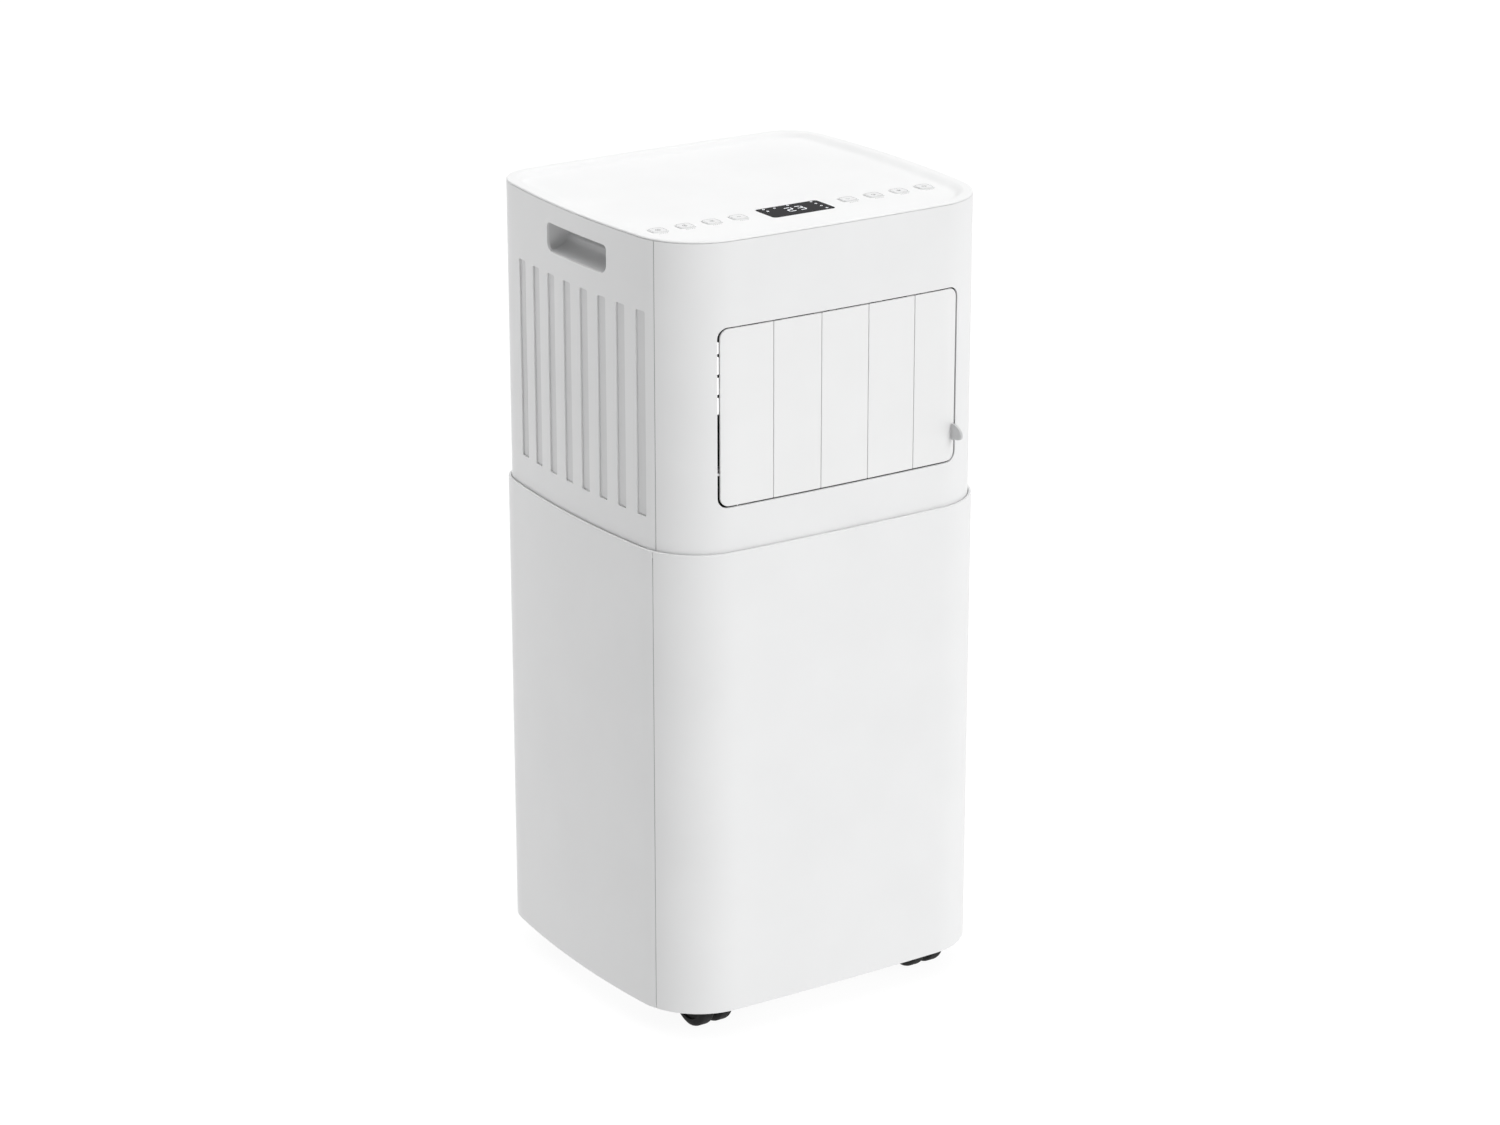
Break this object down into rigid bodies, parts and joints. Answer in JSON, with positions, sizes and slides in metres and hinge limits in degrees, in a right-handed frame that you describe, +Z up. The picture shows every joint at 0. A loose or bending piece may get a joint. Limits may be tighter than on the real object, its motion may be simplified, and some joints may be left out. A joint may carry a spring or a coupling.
{
  "type": "portable air conditioner",
  "caption": "Upright white portable air conditioner on casters, with a turning louvre outlet, a key row and display on top, side handles and a rear exhaust collar.",
  "frame": {"origin": "on the floor under the middle of the object's box", "axes": "+Z up, -Y out of the front with the air outlet, +X to the right of someone facing the front panel from outside"},
  "size_m": [0.335, 0.319, 0.6966],
  "materials": {
    "white_shell": "satin moulded",
    "white_louvre": "satin moulded",
    "white_key": "satin moulded",
    "white_intake": "fine moulded mesh",
    "grey_tab": "satin moulded",
    "black_window": "polished",
    "black_caster": "moulded nylon",
    "filter_net": "fine net",
    "rubber_cap": "moulded",
    "duct_plastic": "moulded",
    "fin_aluminium": "thin fins",
    "copper_pipe": "drawn copper",
    "compressor_paint": "gloss black paint",
    "motor_steel": "zinc plated",
    "circuit_board": "solder resist"
  },
  "bodies": {
    "housing": {"base_pan": "duct_plastic", "blower_housing": "duct_plastic", "blower_motor": "motor_steel", "compressor": "compressor_paint", "condenser_coil": "fin_aluminium", "control_board": "circuit_board", "cord_gland": "rubber_cap", "discharge_pipe": "copper_pipe", "display_window": "black_window", "evaporator_coil": "fin_aluminium", "exhaust_collar": "white_shell", "exhaust_fan_housing": "duct_plastic", "exhaust_fan_motor": "motor_steel", "handle_cup_left": "white_shell", "handle_cup_right": "white_shell", "intake_screen_left": "white_intake", "intake_screen_right": "white_intake", "liquid_pipe": "copper_pipe", "lower_back_panel": "white_shell", "lower_front_panel": "white_shell", "lower_side_panel_left": "white_shell", "lower_side_panel_right": "white_shell", "mid_deck": "duct_plastic", "outlet_frame": "duct_plastic", "rear_grille": "white_shell", "suction_pipe": "copper_pipe", "top_cover": "white_shell", "upper_back_panel": "white_shell", "upper_front_panel": "white_shell", "upper_side_panel_left": "white_shell", "upper_side_panel_right": "white_shell"},
    "louvre_5": {"louvre_blade_5": "white_louvre", "louvre_tab": "grey_tab"},
    "louvre_link": {"louvre_link": "white_louvre"},
    "filter_door": {"filter_door": "white_shell", "filter_mesh": "filter_net"},
    "drain_cap_upper": {"drain_cap_upper": "rubber_cap"},
    "drain_cap_lower": {"drain_cap_lower": "rubber_cap"},
    "blower_wheel": {"blower_wheel": "duct_plastic"},
    "exhaust_fan_wheel": {"exhaust_fan_wheel": "duct_plastic"},
    "louvre_1": {"louvre_blade_1": "white_louvre"},
    "louvre_2": {"louvre_blade_2": "white_louvre"},
    "louvre_3": {"louvre_blade_3": "white_louvre"},
    "louvre_4": {"louvre_blade_4": "white_louvre"},
    "key_1": {"key_1": "white_key"},
    "key_2": {"key_2": "white_key"},
    "key_3": {"key_3": "white_key"},
    "key_4": {"key_4": "white_key"},
    "key_5": {"key_5": "white_key"},
    "key_6": {"key_6": "white_key"},
    "key_7": {"key_7": "white_key"},
    "key_8": {"key_8": "white_key"},
    "caster_front_left": {"caster_fork_front_left": "black_caster"},
    "wheels_front_left": {"caster_wheels_front_left": "black_caster"},
    "caster_front_right": {"caster_fork_front_right": "black_caster"},
    "wheels_front_right": {"caster_wheels_front_right": "black_caster"},
    "caster_rear_left": {"caster_fork_rear_left": "black_caster"},
    "wheels_rear_left": {"caster_wheels_rear_left": "black_caster"},
    "caster_rear_right": {"caster_fork_rear_right": "black_caster"},
    "wheels_rear_right": {"caster_wheels_rear_right": "black_caster"}
  },
  "joints": [
    {"name": "louvre_5_turn", "type": "hinge", "parent": "housing", "child": "louvre_5", "pos_m": [0.0868, -0.14209, 0.4736], "axis": [0, 0, -1], "range_deg": [0, 70]},
    {"name": "louvre_1_turn", "type": "hinge", "parent": "housing", "child": "louvre_1", "pos_m": [-0.0976, -0.14183, 0.4736], "axis": [0, 0, -1], "range_deg": [0, 70]},
    {"name": "louvre_2_turn", "type": "hinge", "parent": "housing", "child": "louvre_2", "pos_m": [-0.0515, -0.14275, 0.4736], "axis": [0, 0, -1], "range_deg": [0, 70]},
    {"name": "louvre_3_turn", "type": "hinge", "parent": "housing", "child": "louvre_3", "pos_m": [-0.0054, -0.1431, 0.4736], "axis": [0, 0, -1], "range_deg": [0, 70]},
    {"name": "louvre_4_turn", "type": "hinge", "parent": "housing", "child": "louvre_4", "pos_m": [0.0407, -0.14288, 0.4736], "axis": [0, 0, -1], "range_deg": [0, 70]},
    {"name": "louvre_link_turn", "type": "hinge", "parent": "louvre_5", "child": "louvre_link", "pos_m": [0.0648, -0.13509, 0.5024], "axis": [0, 0, -1], "range_deg": [-70, 0]},
    {"name": "key_1_press", "type": "slide", "parent": "housing", "child": "key_1", "axis": [0, 0, -1], "range_m": [0, 0.0008], "stiffness_N_per_m": 400, "springref_m": -0.0005},
    {"name": "key_2_press", "type": "slide", "parent": "housing", "child": "key_2", "axis": [0, 0, -1], "range_m": [0, 0.0008], "stiffness_N_per_m": 400, "springref_m": -0.0005},
    {"name": "key_3_press", "type": "slide", "parent": "housing", "child": "key_3", "axis": [0, 0, -1], "range_m": [0, 0.0008], "stiffness_N_per_m": 400, "springref_m": -0.0005},
    {"name": "key_4_press", "type": "slide", "parent": "housing", "child": "key_4", "axis": [0, 0, -1], "range_m": [0, 0.0008], "stiffness_N_per_m": 400, "springref_m": -0.0005},
    {"name": "key_5_press", "type": "slide", "parent": "housing", "child": "key_5", "axis": [0, 0, -1], "range_m": [0, 0.0008], "stiffness_N_per_m": 400, "springref_m": -0.0005},
    {"name": "key_6_press", "type": "slide", "parent": "housing", "child": "key_6", "axis": [0, 0, -1], "range_m": [0, 0.0008], "stiffness_N_per_m": 400, "springref_m": -0.0005},
    {"name": "key_7_press", "type": "slide", "parent": "housing", "child": "key_7", "axis": [0, 0, -1], "range_m": [0, 0.0008], "stiffness_N_per_m": 400, "springref_m": -0.0005},
    {"name": "key_8_press", "type": "slide", "parent": "housing", "child": "key_8", "axis": [0, 0, -1], "range_m": [0, 0.0008], "stiffness_N_per_m": 400, "springref_m": -0.0005},
    {"name": "filter_door_pull", "type": "slide", "parent": "housing", "child": "filter_door", "axis": [0, 1, 0], "range_m": [0, 0.03]},
    {"name": "drain_cap_upper_pull", "type": "slide", "parent": "housing", "child": "drain_cap_upper", "axis": [0, 1, 0], "range_m": [0, 0.015]},
    {"name": "drain_cap_lower_pull", "type": "slide", "parent": "housing", "child": "drain_cap_lower", "axis": [0, 1, 0], "range_m": [0, 0.015]},
    {"name": "blower_spin", "type": "hinge", "parent": "housing", "child": "blower_wheel", "pos_m": [0, -0.098, 0.548], "axis": [0, 1, 0], "continuous": true},
    {"name": "exhaust_fan_spin", "type": "hinge", "parent": "housing", "child": "exhaust_fan_wheel", "pos_m": [0, 0.072, 0.34], "axis": [0, 1, 0], "continuous": true},
    {"name": "caster_front_left_swivel", "type": "hinge", "parent": "housing", "child": "caster_front_left", "pos_m": [-0.11, -0.092, 0.0525], "axis": [0, 0, 1], "continuous": true},
    {"name": "caster_front_right_swivel", "type": "hinge", "parent": "housing", "child": "caster_front_right", "pos_m": [0.11, -0.092, 0.0525], "axis": [0, 0, 1], "continuous": true},
    {"name": "caster_rear_left_swivel", "type": "hinge", "parent": "housing", "child": "caster_rear_left", "pos_m": [-0.11, 0.092, 0.0525], "axis": [0, 0, 1], "continuous": true},
    {"name": "caster_rear_right_swivel", "type": "hinge", "parent": "housing", "child": "caster_rear_right", "pos_m": [0.11, 0.092, 0.0525], "axis": [0, 0, 1], "continuous": true},
    {"name": "wheels_front_left_roll", "type": "hinge", "parent": "caster_front_left", "child": "wheels_front_left", "pos_m": [-0.11, -0.108, 0.025], "axis": [1, 0, 0], "continuous": true},
    {"name": "wheels_front_right_roll", "type": "hinge", "parent": "caster_front_right", "child": "wheels_front_right", "pos_m": [0.11, -0.108, 0.025], "axis": [1, 0, 0], "continuous": true},
    {"name": "wheels_rear_left_roll", "type": "hinge", "parent": "caster_rear_left", "child": "wheels_rear_left", "pos_m": [-0.11, 0.076, 0.025], "axis": [1, 0, 0], "continuous": true},
    {"name": "wheels_rear_right_roll", "type": "hinge", "parent": "caster_rear_right", "child": "wheels_rear_right", "pos_m": [0.11, 0.076, 0.025], "axis": [1, 0, 0], "continuous": true}
  ],
  "couplings": [
    {"joint": "louvre_1_turn", "follows": "louvre_5_turn", "ratio": 1},
    {"joint": "louvre_2_turn", "follows": "louvre_5_turn", "ratio": 1},
    {"joint": "louvre_3_turn", "follows": "louvre_5_turn", "ratio": 1},
    {"joint": "louvre_4_turn", "follows": "louvre_5_turn", "ratio": 1},
    {"joint": "louvre_link_turn", "follows": "louvre_5_turn", "ratio": -1}
  ]
}
